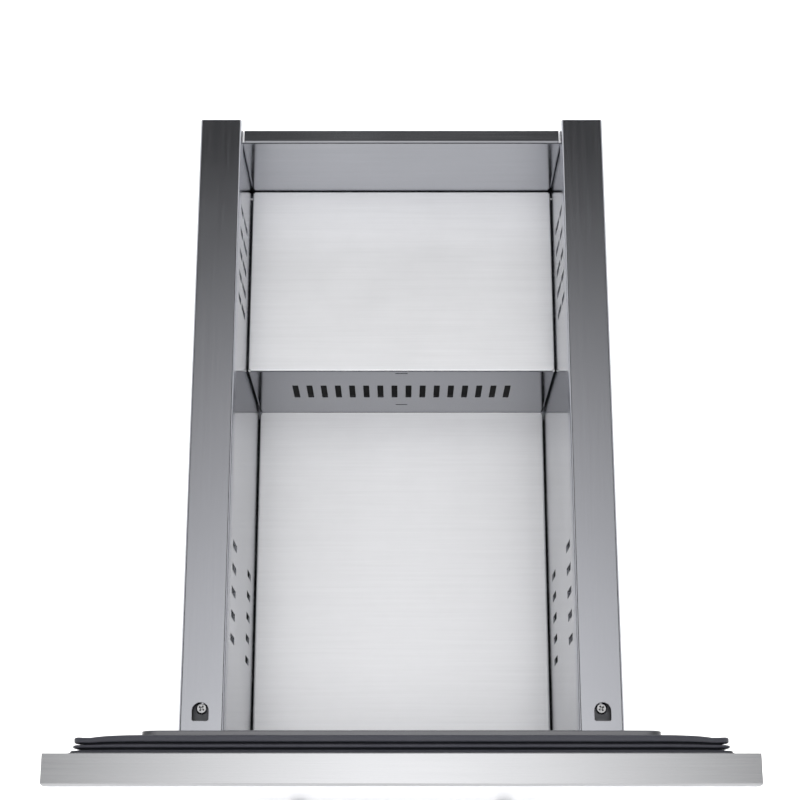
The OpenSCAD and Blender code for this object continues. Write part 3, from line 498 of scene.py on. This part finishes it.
def build_gasket():
    """The bellows gasket swept round the liner, with its bands pulled in beside the welded corners."""
    low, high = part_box("door_gasket")
    magnet_low, magnet_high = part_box("gasket_magnets")
    liner_back = low.y / MM + DART_LENGTH
    depth = high.y / MM - liner_back
    width = (high.x - low.x) / MM
    height = (high.z - low.z) / MM
    centre = Vector(((low.x + high.x) / 2, 0.0, (low.z + high.z) / 2))
    band = 2 * (magnet_low.x - low.x) / MM + MAGNET_WIDTH
    outline = gasket_outline(band, depth)
    cavity = tube_outline(band, depth, (magnet_high.y - magnet_low.y) / MM)
    stations = gasket_path(width, height, band)
    mesh = bmesh.new()
    for shape in (outline, cavity):
        rings = []
        for station in stations:
            ring = []
            for across, out in shape:
                x, z = station(across)
                from_sides = (width / 2 - abs(x), height / 2 - abs(z))
                distance = math.hypot(*(max(0.0, side) for side in from_sides))
                y = liner_back + out + sag(distance, out, depth)
                ring.append(mesh.verts.new(centre + Vector((x * MM, y * MM, z * MM))))
            rings.append(ring)
        for k, ring in enumerate(rings):
            after = rings[(k + 1) % len(rings)]
            for j in range(len(ring)):
                i = (j + 1) % len(ring)
                mesh.faces.new((ring[j], ring[i], after[i], after[j]))
    bmesh.ops.recalc_face_normals(mesh, faces=mesh.faces)
    data = bpy.data.meshes.new("bellows_gasket")
    mesh.to_mesh(data)
    mesh.free()
    data.materials.append(MATERIALS["gasket_rubber"])
    data.shade_smooth()
    data.set_sharp_from_angle(angle=math.radians(SHARP_FOLD))
    gasket = bpy.data.objects.new("bellows_gasket", data)
    bpy.context.scene.collection.objects.link(gasket)
    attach(gasket, "drawer")
    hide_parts("door_gasket")


build_gasket()


# ---- Studio ----

# The floor's width, its distance below the drawer, and cycles a metre of its two tones
FLOOR_SIZE = 14.0
FLOOR_GAP = 1.0 * MM
FLOOR_MOTTLE_SCALE = 3.0
# Steepness of a ray, as the sine of its angle: where steel starts to see the floor as the camera
# does, and where it fully does
STEEP_START = 0.5
STEEP_FULL = 0.68
# The floor's colours: two pale tones for the camera, a darker one that steel reflects as painted shade,
# and a painted shadow for the bin's gaps
FLOOR_PALE = (0.91, 0.91, 0.915, 1.0)
FLOOR_PALER = (0.94, 0.94, 0.94, 1.0)
FLOOR_IN_STEEL = (0.42, 0.42, 0.43, 1.0)
FLOOR_PAINTED_SHADOW = (0.02, 0.02, 0.021, 1.0)
# How far past the bin its painted shadow on the floor goes before it starts to fade, and where it ends
SHADOW_FADE_START = 14 * MM
SHADOW_FADE_END = 50 * MM
# The soft box overhead as steel sees it: its strength straight up, how much narrower it is from side
# to side, the angle in degrees where it has faded out, and the light left outside it
BOX_STRENGTH = 1.5
BOX_NARROW = 1.46
BOX_EDGE = 27.0
DARK = 0.03
# The same box as dull surfaces see it: its strength, and its edge and the edge's width in degrees
SOFT_STRENGTH = 2.0
SOFT_EDGE = 40.0
SOFT_FADE = 6.0
# The lamp over the front that lights dull surfaces: height above the front and size in metres, spread
# in degrees and power in watts
LAMP_HEIGHT = 0.75
LAMP_SIZE = 0.35
LAMP_SPREAD = 62.0
LAMP_WATTS = 1.4
# The walls of the studio: where they start and are full, in degrees from straight up, and how bright
# they look to steel and to the rest
WALL_START = 58.0
WALL_FULL = 92.0
WALL_IN_STEEL = 0.75
WALL_LIGHT = 2.7
# The wall before the front comes closer overhead: where it is full and where it ends, in degrees
AHEAD_FULL = -30.0
AHEAD_END = -8.0
# The camera: its place off the front's top edge, its tilt in degrees, its lens and sensor in mm, and
# how far the picture's middle is moved, as a share of its width
EYE_AHEAD = 51.5 * MM
EYE_ABOVE = 885.3 * MM
EYE_TILT = 16.4
LENS = 74.86
SENSOR = 36.0
SHIFT_X = -1.5 / 800


def painted_shadow_share(tree, place):
    """Share of the painted shadow: 1 below the bin and 0 a little outside it."""
    low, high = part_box("stepped_floor")
    axes = add(tree, "SeparateXYZ", {0: place}).outputs
    shares = []
    for k in range(2):
        off = maths(tree, "ABSOLUTE", maths(tree, "SUBTRACT", axes[k], (low[k] + high[k]) / 2))
        half = (high[k] - low[k]) / 2
        shares.append(remap(tree, off, half + SHADOW_FADE_START, half + SHADOW_FADE_END, 1.0, 0.0, smooth=True))
    return maths(tree, "MULTIPLY", *shares)


def studio_floor():
    """Plain pale floor under the drawer. It is painted darker for the steel than for the camera, a
    painted shade in reflections, but not for steel that sees it from straight above. Below the bin it
    has a painted shadow, dark when seen steeply, so that the bin's gaps and vents look dark."""
    bpy.ops.mesh.primitive_plane_add(size=FLOOR_SIZE, location=(0.0, 0.0, cad_low.z - FLOOR_GAP))
    floor = bpy.context.object
    floor.name = "studio_floor"
    material, tree = new_tree("pale_floor")
    place = object_place(tree)
    mottle = noise(tree, place, FLOOR_MOTTLE_SCALE, 3.0)
    base = mix(tree, mottle, FLOOR_PALE, FLOOR_PALER)
    steep = height_of(tree, add(tree, "NewGeometry").outputs["Incoming"])
    steep = remap(tree, steep, STEEP_START, STEEP_FULL, 0.0, 1.0)
    bright = maths(tree, "MAXIMUM", add(tree, "LightPath").outputs["Is Camera Ray"], steep)
    # Painted shade in reflections: steel that sees the floor at a slant sees the darker tone.
    base = mix(tree, bright, FLOOR_IN_STEEL, base)
    # Painted shadow under the bin, only where the floor is seen steeply.
    dark = maths(tree, "MULTIPLY", painted_shadow_share(tree, place), steep)
    base = mix(tree, dark, base, FLOOR_PAINTED_SHADOW)
    surface(tree, {"Base Color": base, "Roughness": 0.9, "Specular IOR Level": 0.1})
    floor.data.materials.append(material)


def tilt(tree, part, up):
    """Angle of a direction away from straight up, towards one side, in degrees."""
    return maths(tree, "MULTIPLY", maths(tree, "ARCTAN2", part, up), 180.0 / math.pi)


def studio_light():
    """A soft box overhead that fades to its sides, and pale walls all round."""
    world = bpy.data.worlds.new("studio")
    bpy.context.scene.world = world
    world.use_nodes = True
    tree = world.node_tree
    tree.nodes.clear()
    direction = add(tree, "SeparateXYZ", {0: add(tree, "TexCoord").outputs["Generated"]}).outputs
    back = tilt(tree, direction[1], direction[2])
    side = maths(tree, "MULTIPLY", tilt(tree, direction[0], direction[2]), BOX_NARROW)
    away = maths(tree, "SQRT", maths(tree, "ADD", maths(tree, "MULTIPLY", back, back),
                                     maths(tree, "MULTIPLY", side, side)))
    box = maths(tree, "MAXIMUM", remap(tree, away, 0.0, BOX_EDGE, BOX_STRENGTH, 0.0), DARK)
    soft = remap(tree, away, SOFT_EDGE - SOFT_FADE, SOFT_EDGE, SOFT_STRENGTH, DARK)
    path = add(tree, "LightPath").outputs
    in_steel = maths(tree, "LESS_THAN", path["Diffuse Depth"], 0.5)
    overhead = maths(tree, "ADD", maths(tree, "MULTIPLY", box, in_steel),
                     maths(tree, "MULTIPLY", soft, maths(tree, "SUBTRACT", 1.0, in_steel)))
    walls = remap(tree, in_steel, 0.0, 1.0, WALL_LIGHT, WALL_IN_STEEL)
    round_about = remap(tree, away, WALL_START, WALL_FULL, 0.0, 1.0, smooth=True)
    ahead = remap(tree, back, AHEAD_FULL, AHEAD_END, 1.0, 0.0)
    walls = maths(tree, "MULTIPLY", maths(tree, "MAXIMUM", round_about, ahead), walls)
    white = (1.0, 1.0, 1.0, 1.0)
    inputs = {"Color": white, "Strength": maths(tree, "ADD", overhead, walls)}
    light = add(tree, "Background", inputs).outputs[0]
    backdrop = add(tree, "Background", {"Color": white, "Strength": 1.0}).outputs[0]
    shown = add(tree, "MixShader", {0: path["Is Camera Ray"], 1: light, 2: backdrop}).outputs[0]
    tree.links.new(shown, add(tree, "OutputWorld").inputs["Surface"])
    # Sampled as a light, the world wouldn't know which kind of ray sees it.
    world.cycles.sampling_method = "NONE"


def lamp():
    """Soft lamp above the front that dull surfaces see and steel does not."""
    data = bpy.data.lights.new("lamp", "AREA")
    data.shape = "SQUARE"
    data.size = LAMP_SIZE
    data.spread = math.radians(LAMP_SPREAD)
    data.energy = LAMP_WATTS
    light = bpy.data.objects.new("lamp", data)
    light.location = (0.0, front_low.y, front_high.z + LAMP_HEIGHT)
    light.visible_camera = False
    light.visible_glossy = False
    bpy.context.scene.collection.objects.link(light)


def camera():
    """Camera above the drawer, tilted a little towards its back."""
    data = bpy.data.cameras.new("camera")
    data.sensor_width = SENSOR
    data.lens = LENS
    data.shift_x = SHIFT_X
    eye = bpy.data.objects.new("camera", data)
    bpy.context.scene.collection.objects.link(eye)
    eye.location = (0.0, front_low.y - EYE_AHEAD, front_high.z + EYE_ABOVE)
    eye.rotation_euler = (math.radians(EYE_TILT), 0.0, 0.0)
    bpy.context.scene.camera = eye


studio_floor()
studio_light()
lamp()
camera()
bpy.context.scene.view_settings.view_transform = "Standard"
